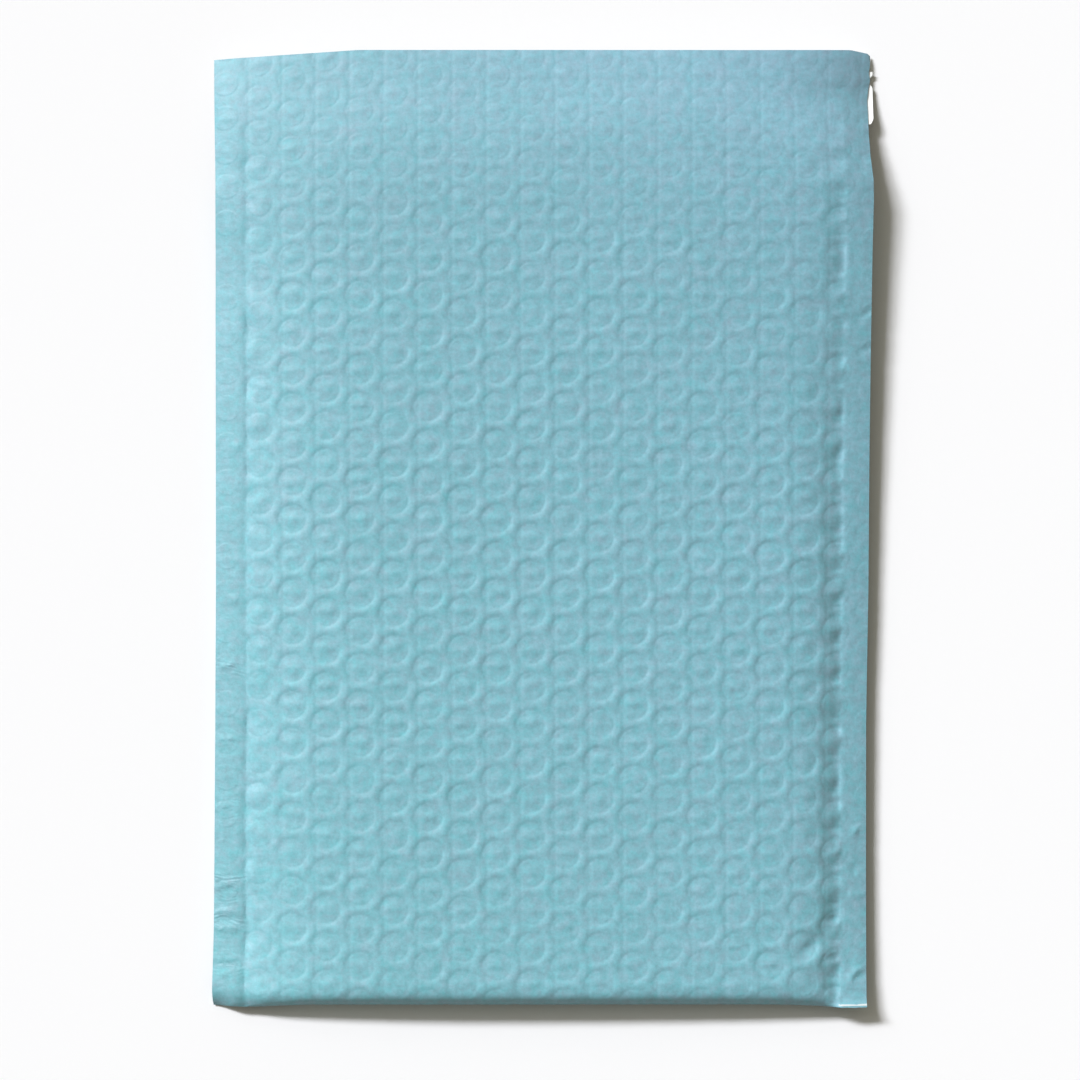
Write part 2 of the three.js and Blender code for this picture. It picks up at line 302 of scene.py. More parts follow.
# Creases and small ridges of the film on the back, in millimetres: both ends, height and width
FILM_CREASES = (
    # left seal
    ((-101.2, 27.2), (-100.2, 26.4), 0.28, 1.0),
    ((-107.5, -10.8), (-98.0, -10.4), 0.14, 0.7),
    ((-101.0, -15.6), (-99.8, -16.6), 0.25, 0.9),
    ((-102.8, -23.0), (-101.0, -24.2), 0.28, 0.9),
    ((-105.4, -46.0), (-101.6, -44.6), 0.26, 0.6),
    ((-106.6, -69.9), (-99.8, -69.5), 0.26, 0.5),
    ((-107.4, -92.5), (-101.0, -91.2), 0.16, 0.7),
    ((-107.6, -114.8), (-104.2, -116.4), 0.32, 0.6),
    ((-107.6, -119.0), (-103.0, -117.6), 0.34, 0.6),
    ((-103.0, -117.6), (-98.8, -118.9), 0.34, 0.6),
    ((-107.2, -126.8), (-99.2, -126.2), 0.34, 0.7),
    ((-106.4, -129.4), (-99.0, -129.0), -0.30, 0.6),
    ((-107.2, -132.6), (-99.6, -131.8), 0.34, 0.6),
    ((-107.6, -144.0), (-99.0, -143.4), -0.24, 0.5),
    ((-107.0, -148.0), (-100.0, -147.0), 0.12, 0.9),
    # right seal
    ((103.6, 68.6), (107.4, 71.0), -0.42, 0.9),
    ((104.2, 57.6), (107.6, 59.2), -0.36, 0.9),
    ((104.0, -57.0), (106.0, -56.0), 0.18, 0.7),
    ((103.4, -101.4), (104.4, -99.6), 0.42, 1.0),
    ((104.4, -99.6), (106.6, -99.0), 0.26, 0.6),
    ((103.4, -112.6), (105.2, -111.8), -0.44, 1.0),
    ((102.8, -121.2), (106.8, -121.0), 0.38, 0.9),
    ((102.2, -148.6), (104.0, -146.6), 0.52, 0.9),
    ((104.0, -146.6), (106.6, -145.4), 0.48, 0.9),
    # pinched bubbles of the last column, and the slanting wrinkle by the lower right corner
    ((92.6, -129.6), (97.6, -129.0), -0.50, 0.9),
    ((93.2, -142.0), (97.8, -141.6), -0.52, 0.9),
    ((92.6, -151.0), (97.4, -151.8), -0.46, 1.0),
    ((92.8, -106.2), (96.8, -105.2), -0.24, 1.0),
    ((97.0, -130.0), (86.5, -139.5), -0.62, 2.2),
    ((97.5, -136.0), (82.0, -149.0), 0.20, 3.0),
)
SWAY_SIZE = 70 * MM
SWAY_HEIGHT = 0.26 * MM
SWAY_SEED = 0.5
FLAP_SWAY_SIZE = 24 * MM
FLAP_SWAY_HEIGHT = 0.22 * MM
FLAP_SWAY_SEED = 5.5
RIPPLE_SIZE = 9 * MM
RIPPLE_HEIGHT = 0.11 * MM
RIPPLE_SEED = 7.5
PUCKER_SIZE = 6 * MM
PUCKER_HEIGHT = 0.72 * MM
PUCKER_RUN = 8 * MM
PUCKER_SEED = 3.5
SEAL_CRINKLES = (
    # place along the left seal, how far it spreads, how strong
    (-117.0 * MM, 4.0 * MM, 1.0),
    (-129.5 * MM, 5.0 * MM, 1.0),
    (-144.0 * MM, 4.0 * MM, 0.5),
    (-92.0 * MM, 6.0 * MM, 0.4),
    (-46.0 * MM, 5.0 * MM, 0.4),
)
PLAIN_CRINKLE = 0.12

# Release strip under the flap
STRIP_WIDTH = 18.1 * MM
STRIP_LOW = 132.8 * MM
STRIP_LEFT = -106.5 * MM
STRIP_RIGHT = 109.6 * MM
STRIP_THICKNESS = 0.25 * MM
STRIP_GAP = 0.06 * MM
STRIP_END_CURL = 0.25 * MM
STRIP_END_RUN = 2.2 * MM
STRIP_CORNER_CUT = 1.0 * MM
STRIP_CORNER_RUN = 2.4 * MM
STRIP_NOTCH = 0.9 * MM
STRIP_NOTCH_AT = 147.2 * MM
STRIP_NOTCH_WIDTH = 1.7 * MM
STRIP_NOTCH_POWER = 4
STRIP_LOWEST = 0.4 * MM
STRIP_CUTS_ACROSS = 200
STRIP_CUTS_ALONG = 44

# The photograph's frame and light
FRAME_WIDTH = 356.2 * MM
FRAME_CENTRE = (-0.5 * MM, -4.1 * MM)
CAMERA_HEIGHT = 0.75
OUTLINE_HEIGHT = 4.5 * MM
SENSOR_WIDTH = 36.0
KEY_ELEVATION = math.radians(33)
KEY_PLAN_ANGLE = math.radians(138)
KEY_SHARE = 0.70
KEY_SPREAD = math.radians(8)
KEY_LENGTH = (-0.26, 0.0, 0.26)
GLOW_SHARE = 0.08
GLOW_SPREAD = math.radians(36)
FILL_SHARE = 0.22
KEY_COLOUR = (1.0, 1.01, 1.06)
FILL_COLOUR = (1.0, 0.955, 0.77, 1.0)
FILL_TOWARDS = (-0.2, 0.85, 0.0)
FLOOR_SIZE = 6.0

# Fine grain of film and paper: noise scales, and how the tint's noise differs from the tone's
GRAIN_FINE_SCALE = 1500.0
GRAIN_TONE_SCALE = 380.0
GRAIN_TINT_SCALE = 300.0
GRAIN_CLOUD_SCALE = 90.0
GRAIN_CLOUD_SHARE = 0.3
GRAIN_DETAIL = 4.0
GRAIN_ROUGHNESS = 0.75
GRAIN_TINT_OFFSET = (3.7, 1.9, 0.6)

# Looks of the teal film, with light and shade painted into its colour
TEAL_COOL = linear(90, 167, 178)
TEAL_LILAC = linear(123, 165, 181)
# painted sheen: a pale bluish colour mixed into the film towards the flap's free end, more on the right,
# in place of the sheen there
PAINTED_SHEEN_COLOUR = linear(190, 205, 240)
PAINTED_SHEEN_SHARE = 0.065
PAINTED_SHEEN_SLANT = 8.0
PAINTED_SHEEN_START = WEB_LENGTH - 85 * MM
TINT_RANGE = (0.25, 0.75)
# painted light: the random tint leans to lilac towards the right, for the bluer light on that side
PAINTED_LIGHT_TINT_SLANT = 0.4
TONE_SPREAD = (0.5, 1.5)
BUBBLE_TONE_SPREAD = (0.98, 1.02)
# painted light and shade: the film's colour is lighter towards the foot and darker towards the flap, in
# place of the shading there
PAINTED_SHADING_FOOT = 1.09
PAINTED_SHADING_FLAP = 0.99
# painted reflection: the film's blue is raised towards the flap and towards the right, for a bluish
# reflection there
PAINTED_REFLECTION_BLUE_FOOT = 0.98
PAINTED_REFLECTION_BLUE_FLAP = 1.02
PAINTED_REFLECTION_BLUE_SLANT = 0.12
FILM_GRAIN_HEIGHT = 0.025 * MM
COLUMN_LINE_OFFSET = -3.3 * MM
COLUMN_LINE_WIDTH = 1.2 * MM
COLUMN_LINE_DEPTH = 0.04 * MM
BUBBLE_WRINKLE_SCALE = (220.0, 330.0, 1.0)
BUBBLE_WRINKLE_HEIGHT = 0.10 * MM
SEAL_CRINKLE_SCALE = (170.0, 430.0, 1.0)
SEAL_CRINKLE_BEND = 1.6
SEAL_CRINKLE_HEIGHT = 0.12 * MM
SEAL_WAVE_BEND_SCALE = (150.0, 190.0, 1.0)
SEAL_WAVE_BEND = 7.0 * MM
SEAL_WAVE_PITCH = 2.0 * MM
SEAL_WAVE_HEIGHT = 0.034 * MM
SEAL_WAVE_PATCH_SCALE = 330.0
SEAL_WAVE_PATCH = (0.42, 0.62)
FILM_IOR = 1.6
FILM_GLOSS = 1.0
FILM_ROUGHNESS = (0.56, 0.68)

# Looks of the lining, the release strip and the floor
LINING_GREY = linear(196, 208, 210)
LINING_PALE = linear(222, 229, 229)
LINING_CLOUD_SCALE = 60.0
LINING_CLOUD_DETAIL = 3.0
LINING_GRAIN_HEIGHT = 0.03 * MM
LINING_ROUGHNESS = (0.30, 0.45)
LINER_GREY = linear(232, 234, 232)
LINER_WHITE = linear(250, 251, 249)
LINER_GRAIN_HEIGHT = 0.01 * MM
LINER_ROUGHNESS = (0.45, 0.60)
FLOOR_WHITE = (0.975, 0.978, 0.985, 1.0)
FLOOR_DULL = (0.32, 0.30, 0.27, 1.0)
ROOM_WHITE = (1.0, 1.0, 1.0, 1.0)
CRISP_EDGE_ANGLE = math.radians(50)


def smooth(t):
    """Eases from 0 to 1."""
    t = np.clip(t, 0.0, 1.0)
    return t * t * (3.0 - 2.0 * t)


def lift(y):
    """Share of the way from the flat pocket to its lifted mouth."""
    return np.clip((y - MOUTH) / LIFT_LENGTH + 1.0, 0.0, 1.0) ** 2


def along_flap(y):
    """Share of the way from the mouth to the flap's free end."""
    return np.clip((y - MOUTH) / FLAP_LENGTH, 0.0, 1.0)


def flap_share(y):
    """0 on the panels, easing to 1 by the middle of the flap."""
    return smooth(2.0 * along_flap(y))


def swell(x, run_left, run_right, right_line=RIGHT_SEAL_LINE, right_ease=0.0):
    """0 on the seals, rising to 1 in the middle of the pocket."""
    from_left = np.maximum(0.0, x - LEFT_SEAL_LINE)
    from_right = np.maximum(0.0, right_line - x)
    from_right = np.hypot(from_right, right_ease) - right_ease
    return (1.0 - np.exp(-from_left / run_left)) * (1.0 - np.exp(-from_right / run_right))


def right_seal_line(y):
    """The right seal's inner edge, pushed out by each bubble of the last column."""
    last_bubble = FOOT_END + FIRST_BUBBLE + ROW_PITCH / 2
    return RIGHT_SEAL_LINE + SEAL_WANDER * np.cos(2 * math.pi * (y - last_bubble) / ROW_PITCH)


def near_end(y, end, run):
    """1 at the foot's end, a little more past it, easing out to 0 at the end of the run."""
    return np.clip((end + run - y) / run, 0.0, PAST_FOOT_MOST) ** 2


def seal_height(x, y):
    """Middle height of the seal on this side of the mailer, bowed down towards its outer edge."""
    out_left = np.maximum(0.0, LEFT_SEAL_LINE - x)
    left = SEAL_HEIGHT_LEFT + SEAL_RISE_LEFT * lift(y)
    below_mouth = np.clip((MOUTH - y) / (MOUTH - FOOT_END), 0.0, 1.0)
    left_slope = LEFT_BOW_SLOPE - LEFT_BOW_EASE * below_mouth ** LEFT_BOW_EASE_POWER
    left = left - left_slope * out_left - LEFT_BOW_FALL * out_left ** 2
    left = left + LEFT_MOUTH_RISE * smooth((y - MOUTH + LEFT_MOUTH_RUN) / LEFT_MOUTH_RUN)
    left = left + LEFT_FOOT_RISE * near_end(y, FOOT_END, LEFT_FOOT_RUN)
    left = left - LEFT_FOOT_BEND * near_end(y, FOOT_END, LEFT_BEND_RUN)
    on_corner = smooth((LEFT_EDGE + LEFT_CORNER_WIDTH - x) / LEFT_CORNER_WIDTH)
    left = left - LEFT_CORNER_DIP * on_corner * near_end(y, FOOT_END, LEFT_CORNER_RUN)
    out_right = np.maximum(0.0, x - RIGHT_SEAL_LINE)
    right = SEAL_HEIGHT_RIGHT + SEAL_RISE_RIGHT * lift(y)
    right_slope = RIGHT_BOW_SLOPE - RIGHT_BOW_EASE * near_end(y, FOOT_END, RIGHT_BOW_EASE_RUN)
    right = right - right_slope * out_right - RIGHT_BOW_FALL * out_right ** 2
    by_mouth = smooth((y - MOUTH) / RIGHT_MOUTH_RUN + 0.5)
    right = right + RIGHT_MOUTH_BOW * by_mouth * (RIGHT_EDGE - RIGHT_SEAL_LINE - out_right)
    falling = smooth((y - MOUTH + SEAL_FALL_START) / SEAL_FALL_RUN)
    right = right - (SEAL_FALL_RIGHT + SEAL_FALL_BEND * out_right) * falling
    right = right + RIGHT_CORNER_CURL * near_end(y, FOOT_END, RIGHT_CORNER_RUN)
    lip = smooth((x - RIGHT_SEAL_LINE + RIGHT_LIP_INSIDE) / RIGHT_LIP_INSIDE)
    right = right + RIGHT_LIP * lip * near_end(y, FOOT_END, RIGHT_LIP_RUN)
    in_groove = np.exp(-((y - FOOT_END - RIGHT_GROOVE_AT) / RIGHT_GROOVE_WIDTH) ** 2)
    right = right - RIGHT_LIP_GROOVE * lip * in_groove
    return np.maximum(np.where(x < 0.0, left, right), SEAL_THICKNESS / 2)


def flap_arch(x, y):
    """How far the flap's sides bend down below its middle."""
    left = np.clip((-x - ARCH_FLAT) / (-LEFT_EDGE - ARCH_FLAT), 0.0, 1.0)
    right = np.clip((x - ARCH_FLAT) / (RIGHT_EDGE - ARCH_FLAT), 0.0, 1.0)
    eased = ARCH_END_EASE * smooth((along_flap(y) - ARCH_EASE_START) / ARCH_EASE_RUN)
    deeper = (ARCH_DROP_RIGHT - ARCH_MOUTH_RIGHT) * smooth(along_flap(y) / ARCH_FULL_AT)
    right_drop = ARCH_MOUTH_RIGHT + deeper - eased
    return ARCH_DROP_LEFT * left ** ARCH_POWER_LEFT + right_drop * right ** ARCH_POWER_RIGHT


def back_height(x, y):
    """Outer face of the back panel and the flap, without its bubble marks."""
    crown = POCKET_TOP + (MOUTH_TOP - POCKET_TOP) * lift(y)
    from_left = np.maximum(0.0, x - LEFT_SEAL_LINE)
    foot_drop = FOOT_TOP_DROP * (1.0 - np.exp(-from_left / FOOT_DROP_SPREAD))
    crown = crown - foot_drop * near_end(y, FOOT_END, FOOT_TOP_RUN)
    aside = np.abs(x / RIGHT_SEAL_LINE)
    drop_left = CROWN_DROP_LEFT * aside ** CROWN_POWER_LEFT
    drop_right = CROWN_DROP_RIGHT * aside ** CROWN_POWER_RIGHT
    pocket = crown - np.where(x < 0.0, drop_left, drop_right)
    by_foot = near_end(y, FOOT_END, FOOT_STEEPER_RUN)
    run_left = SWELL_RUN_LEFT * (1.0 - FOOT_STEEPER_LEFT * by_foot)
    run_right = SWELL_RUN_RIGHT * (1.0 - FOOT_STEEPER_RIGHT * by_foot)
    by_seal = 1.0 - swell(x, run_left, run_right, right_seal_line(y), SWELL_EASE_RIGHT)
    pocket = pocket + (seal_height(x, y) + SEAL_THICKNESS / 2 - pocket) * by_seal
    pocket = pocket - SEAL_VALLEY_LEFT * np.exp(-((x - LEFT_SEAL_LINE) / SEAL_VALLEY_WIDTH) ** 2)
    flap = MOUTH_TOP + (FLAP_END_TOP - MOUTH_TOP) * along_flap(y) ** FLAP_FALL_POWER - flap_arch(x, y)
    across = smooth((x - LEFT_EDGE) / MAILER_WIDTH)
    loose_run = LOOSE_RUN_LEFT + (LOOSE_RUN_RIGHT - LOOSE_RUN_LEFT) * across
    loose = smooth((y - MOUTH - LOOSE_START_RIGHT * across) / loose_run)
    tuck = LEFT_TUCK * np.clip((LEFT_EDGE + LEFT_TUCK_RUN - x) / LEFT_TUCK_RUN, 0.0, 1.0) ** 2
    tuck = tuck * (1.0 + DEEPER_TUCK * np.exp(-((y - DEEPER_TUCK_AT) / DEEPER_TUCK_RUN) ** 2))
    tuck = tuck * smooth((y - MOUTH) / TUCK_START)
    by_right = np.clip((x - RIGHT_EDGE + TOP_CORNER_WIDTH) / TOP_CORNER_WIDTH, 0.0, 1.0)
    by_top = np.clip((y - FLAP_END + TOP_CORNER_RUN) / TOP_CORNER_RUN, 0.0, 1.0)
    return pocket + (flap - pocket) * loose - tuck - TOP_CORNER_DIP * by_right ** 2 * by_top ** 2


def front_height(x, y):
    """Outer face of the front panel, which lies on the floor between the seals."""
    by_seal = 1.0 - swell(x, SETTLE_RUN, SETTLE_RUN)
    return (seal_height(x, y) - SEAL_THICKNESS / 2) * by_seal


def fold_reach(x):
    """How far the bottom fold stands out past the fold's centre line."""
    left = smooth((LEFT_SEAL_LINE + CORNER_REACH_RUN - x) / CORNER_REACH_RUN)
    right = smooth((x - RIGHT_SEAL_LINE + CORNER_REACH_RUN) / CORNER_REACH_RUN)
    return FOLD_REACH + LEFT_CORNER_REACH * left + RIGHT_CORNER_REACH * right


def side_shift(x, y):
    """How far the outline's stations move a point sideways, fading towards the middle."""
    left_y, left_out = np.array(LEFT_STATIONS).T * MM
    right_y, right_out = np.array(RIGHT_STATIONS).T * MM
    by_left = smooth(1.0 - (x - LEFT_EDGE) / SIDE_FADE)
    by_right = smooth(1.0 - (RIGHT_EDGE - x) / SIDE_FADE)
    return np.interp(y, left_y, left_out) * by_left + np.interp(y, right_y, right_out) * by_right


def end_drop(x, y):
    """How far the flap falls back: at its arched middle, its slanted left and its right corner."""
    from_end = FLAP_END - y
    slant = LEFT_SLANT * np.clip((LEFT_EDGE + LEFT_SLANT_RUN - x) / LEFT_SLANT_RUN, 0.0, 1.0)
    slant = slant * (1.0 - smooth(from_end / LEFT_SLANT_FADE))
    in_corner = np.clip(x - RIGHT_EDGE + RIGHT_CORNER_RADIUS, 0.0, RIGHT_CORNER_RADIUS)
    corner = RIGHT_CORNER_RADIUS - np.sqrt(RIGHT_CORNER_RADIUS ** 2 - in_corner ** 2)
    corner = corner + RIGHT_SLANT * np.clip((x - RIGHT_EDGE + RIGHT_SLANT_RUN) / RIGHT_SLANT_RUN, 0.0, 1.0)
    corner = corner * (1.0 - smooth(from_end / RIGHT_CORNER_FADE))
    pull = ARCH_PULL * (FLAP_END_TOP - flap_arch(x, y) - ARCH_PULL_LEVEL) * along_flap(y)
    return slant + corner + pull


def lengthwise(along):
    """Place along the mailer for a place along the web, with the whole fold at its centre line."""
    on_front = MOUTH - np.minimum(along, FOLD_START)
    on_back = np.maximum(0.0, along - FOLD_STOP)
    return on_front + on_back


def fold_turn(along):
    """Angle round the fold: half a turn on the front panel, none on the back."""
    return math.pi * np.clip((FOLD_STOP - along) / (FOLD_STOP - FOLD_START), 0.0, 1.0)


def placed(x, along, outward):
    """Points of the flat web folded into the mailer, moved outwards from its outer face."""
    turn = fold_turn(along)
    y = lengthwise(along) - fold_reach(x) * np.sin(turn)
    back = back_height(x, y)
    front = front_height(x, y)
    tip_share = 0.5 - (0.5 - FOLD_TIP_SHARE) * swell(x, FOLD_TIP_RUN, FOLD_TIP_RUN)
    tip = front + tip_share * (back - front)
    half = np.where(turn < math.pi / 2, back - tip, tip - front)
    z = tip + (half + outward) * np.cos(turn)
    on_back = 1.0 - turn / math.pi
    shifted = x + side_shift(x, y)
    back_off = outward * np.sin(turn) + end_drop(x, y) * on_back
    return np.stack([shifted, y - back_off, np.maximum(z, 0.0)], axis=1)


def pressed_flat(x, along):
    """1 where the web is heat-sealed, 0 on the panels and the flap."""
    y = lengthwise(along)
    left = smooth((LEFT_SEAL_LINE - x) / SEAL_EDGE_RUN + 0.5)
    right = smooth((x - RIGHT_SEAL_LINE) / SEAL_EDGE_RUN + 0.5)
    below_mouth = 1.0 - smooth((y - MOUTH + SEAL_END_START) / SEAL_END_RUN)
    return np.maximum(left, right) * below_mouth


def web_wall(x, along):
    """Thickness of the web."""
    from_side = np.minimum(x - LEFT_EDGE, RIGHT_EDGE - x)
    from_end = np.minimum(along, WEB_LENGTH - along)
    from_cut = smooth(np.minimum(from_side, from_end) / EDGE_WALL_RUN)
    wall = EDGE_WALL + (PANEL_WALL - EDGE_WALL) * from_cut
    near_seal = swell(x, SETTLE_RUN, SETTLE_RUN)
    unpressed = np.maximum(near_seal, flap_share(lengthwise(along)))
    return SEAL_WALL + (wall - SEAL_WALL) * unpressed


class BubbleLattice:
    """The bubble lining's lattice, with each bubble's own small differences."""

    def __init__(self, seed):
        chance = np.random.default_rng(seed)
        shape = (len(COLUMN_RANGE), len(ROW_RANGE))
        self.groove = chance.uniform(*GROOVE_RANGE, shape)
        self.uneven = chance.uniform(*UNEVEN_RANGE, shape)
        self.uneven_turn = chance.uniform(0.0, 2 * math.pi, shape)
        self.dome = chance.uniform(*DOME_RANGE, shape)
        self.across = chance.normal(*DOME_OFF_ACROSS, shape)
        self.along = chance.normal(*DOME_OFF_ALONG, shape)
        self.stretch = chance.uniform(*STRETCH_RANGE, shape)
        self.crease = chance.normal(*CREASE_OFF, shape)
        self.crease_tilt = chance.normal(*CREASE_TILT, shape)
        self.crease_depth = np.maximum(0.0, chance.normal(*CREASE_STRENGTH, shape))
        self.dent_across = chance.normal(*DENT_OFF_ACROSS, shape)
        self.dent_along = chance.normal(*DENT_OFF_ALONG, shape)
        self.dent = chance.normal(*DENT_STRENGTH, shape)
        self.ghost = chance.uniform(0.0, 1.0, shape) ** 2
        self.tone = chance.uniform(0.0, 1.0, shape)

    def nearest(self, x, along):
        """Index of each point's bubble, and the point's place from the bubble's centre."""
        column = np.round((x - FIRST_COLUMN) / COLUMN_PITCH).astype(int)
        stagger = np.where(column % 2 == 1, 0.5, 0.0)
        row = np.round((along - FIRST_ROW) / ROW_PITCH - stagger).astype(int)
        across = x - FIRST_COLUMN - column * COLUMN_PITCH
        up = along - FIRST_ROW - (row + stagger) * ROW_PITCH
        column = np.clip(column - COLUMN_RANGE.start, 0, len(COLUMN_RANGE) - 1)
        row = np.clip(row - ROW_RANGE.start, 0, len(ROW_RANGE) - 1)
        return (column, row), across, up

    def marks(self, x, along):
        """Outward relief of the bubble marks."""
        cell, across, up = self.nearest(x, along)
        radius = np.hypot(RING_ACROSS * across, up)
        sunk = 1.0 - smooth((radius - GROOVE_RADIUS) / (LAND_RADIUS - GROOVE_RADIUS))
        around = np.arctan2(up, across) - self.uneven_turn[cell]
        lopsided = 1.0 + self.uneven[cell] * np.cos(around) * radius / LAND_RADIUS
        sunk = sunk * self.groove[cell] * lopsided
        off_across = across - self.across[cell]
        dome_across = off_across / np.where(off_across < 0.0, DOME_LEFT, DOME_RIGHT) / self.stretch[cell]
        dome_up = (up - self.along[cell]) / DOME_ALONG
        dome = 1.0 - np.abs(dome_across) ** DOME_ROUND_ACROSS - np.abs(dome_up) ** DOME_ROUND_ALONG
        dome = np.maximum(0.0, dome)
        crease_off = up - self.crease[cell] - self.crease_tilt[cell] * across
        crease = np.exp(-(crease_off / CREASE_WIDTH) ** 2)
        crease = crease * np.maximum(0.0, 1.0 - (radius / CREASE_REACH) ** 2)
        dent_off = np.hypot(across - self.dent_across[cell], up - self.dent_along[cell])
        dent = np.exp(-(dent_off / DENT_WIDTH) ** 2) * (radius < GROOVE_RADIUS)
        faded = smooth((lengthwise(along) - FADE_START) / FADE_RUN)
        groove_depth = GROOVE_DEPTH * (1.0 - (1.0 - FLAP_WALL_SHARE) * faded)
        relief = DOME_RISE * self.dome[cell] * dome - groove_depth * sunk
        relief = relief - CREASE_DEPTH * self.crease_depth[cell] * crease
        relief = relief - DENT_DEPTH * self.dent[cell] * dent
        relief = relief * self.share(x, along, cell)
        return np.where(fold_turn(along) > 0.0, np.minimum(relief, 0.0), relief)

    def share(self, x, along, cell):
        """How much of a bubble's mark shows: less on the flap and the left slope, a ghost on a seal."""
        pressed = pressed_flat(x, along)
        y = lengthwise(along)
        on_hem = 1.0 - smooth((along - MOUTH_HEM) / HEM_FADE)
        turn = fold_turn(along)
        in_fold = smooth(turn / FOLD_FLAT_TURN) * smooth((math.pi - turn) / FOLD_FLAT_TURN)
        on_slope = 1.0 - smooth((x - LEFT_SEAL_LINE) / SLOPE_MARK_RUN)
        shown = 1.0 - (1.0 - SLOPE_MARK_SHARE) * on_slope * (1.0 - flap_share(y))
        station_y, strength = np.array(MARK_STATIONS).T
        shown = shown * np.interp(y, station_y, strength)
        on_side = smooth((LEFT_SEAL_LINE - x) / FLAP_SIDE_RUN) * flap_share(y)
        shown = shown * (1.0 - (1.0 - FLAP_SIDE_SHARE) * on_side)
        shown = shown * (1.0 - pressed) + pressed * GHOST_SHARE * self.ghost[cell]
        return shown * (1.0 - on_hem) * (1.0 - in_fold)

    def inside(self, x, along):
        """1 inside a bubble's groove, 0 on the land around it."""
        _, across, up = self.nearest(x, along)
        return 1.0 - smooth((np.hypot(across, up) - BUBBLE_INSIDE) / BUBBLE_INSIDE_EDGE)

    def tones(self, x, along):
        """A value from 0 to 1 that differs from bubble to bubble."""
        cell, _, _ = self.nearest(x, along)
        return self.tone[cell]


def crease_relief(x, y):
    """Outward relief of the named creases of the film."""
    relief = np.zeros_like(x)
    for start, end, height, width in FILM_CREASES:
        ax, ay = start[0] * MM, start[1] * MM
        bx, by = end[0] * MM - ax, end[1] * MM - ay
        length = math.hypot(bx, by)
        share = np.clip(((x - ax) * bx + (y - ay) * by) / length ** 2, 0.0, 1.0)
        off = np.hypot(x - ax - share * bx, y - ay - share * by)
        relief += height * MM * np.exp(-(off / (width * MM)) ** 2)
    return relief


def wandering(x, along, size, seed):
    """Soft noise over the flat web, from about -1 to 1, with features of that size."""
    return np.array([noise.noise((u, v, seed)) for u, v in zip(x / size, along / size)])


def broad_relief(x, along):
    """Relief that the whole web follows: creases, seal ripples, puckers by the seals and a soft sway."""
    y = lengthwise(along)
    facing = np.cos(fold_turn(along))
    upward = np.maximum(0.0, facing)
    pressed = pressed_flat(x, along)
    below_flap = 1.0 - flap_share(y)
    from_seal = np.minimum(np.abs(x - LEFT_SEAL_LINE), np.abs(RIGHT_SEAL_LINE - x))
    pucker = PUCKER_HEIGHT * np.exp(-from_seal / PUCKER_RUN) * below_flap
    pucker = pucker * wandering(x, along, PUCKER_SIZE, PUCKER_SEED)
    sway = SWAY_HEIGHT * wandering(x, along, SWAY_SIZE, SWAY_SEED)
    flap_sway = FLAP_SWAY_HEIGHT * (1.0 - below_flap)
    sway = sway + flap_sway * wandering(x, along, FLAP_SWAY_SIZE, FLAP_SWAY_SEED)
    on_panel = (crease_relief(x, y) + pucker + sway) * upward
    on_seal = crease_relief(x, y) + RIPPLE_HEIGHT * wandering(x, y, RIPPLE_SIZE, RIPPLE_SEED)
    return on_panel * (1.0 - pressed) + on_seal * facing * pressed


def crinkle_mask(x, along):
    """How crinkled a seal's film is, from 0 to 1."""
    y = lengthwise(along)
    mask = np.full_like(x, PLAIN_CRINKLE)
    for centre, spread, strength in SEAL_CRINKLES:
        mask += strength * np.exp(-((y - centre) / spread) ** 2) * (x < 0.0)
    return np.clip(mask, 0.0, 1.0) * pressed_flat(x, along)


def cell_border():
    """Border points of one six-sided bubble cell, about its centre."""
    corners = []
    # in thirds of a column pitch and sixths of a row pitch
    for across, up in ((2, 0), (1, 3), (-1, 3), (-2, 0), (-1, -3), (1, -3)):
        corners.append((across * COLUMN_PITCH / 3, up * ROW_PITCH / 6))
    border = []
    for corner, following in zip(corners, corners[1:] + corners[:1]):
        for step in range(POINTS_PER_SIDE):
            share = step / POINTS_PER_SIDE
            across = corner[0] + (following[0] - corner[0]) * share
            up = corner[1] + (following[1] - corner[1]) * share
            border.append((across, up))
    return border


def cell_points(border, rings):
    """Points of one bubble cell: its border, its rings and its centre."""
    points = list(border)
    for radius in rings:
        for across, up in border:
            scale = radius / math.hypot(across, up)
            points.append((across * scale, up * scale))
    points.append((0.0, 0.0))
    return points


def cell_faces(count, ring_count):
    """Faces of one bubble cell: bands between its loops, and a fan at its centre."""
    faces = []
    centre = count * (ring_count + 1)
    for loop in range(ring_count):
        for step in range(count):
            outer = loop * count + step
            outer_next = loop * count + (step + 1) % count
            faces.append((outer, outer_next, outer_next + count, outer + count))
    last = count * ring_count
    for step in range(count):
        faces.append((last + step, last + (step + 1) % count, centre))
    return faces


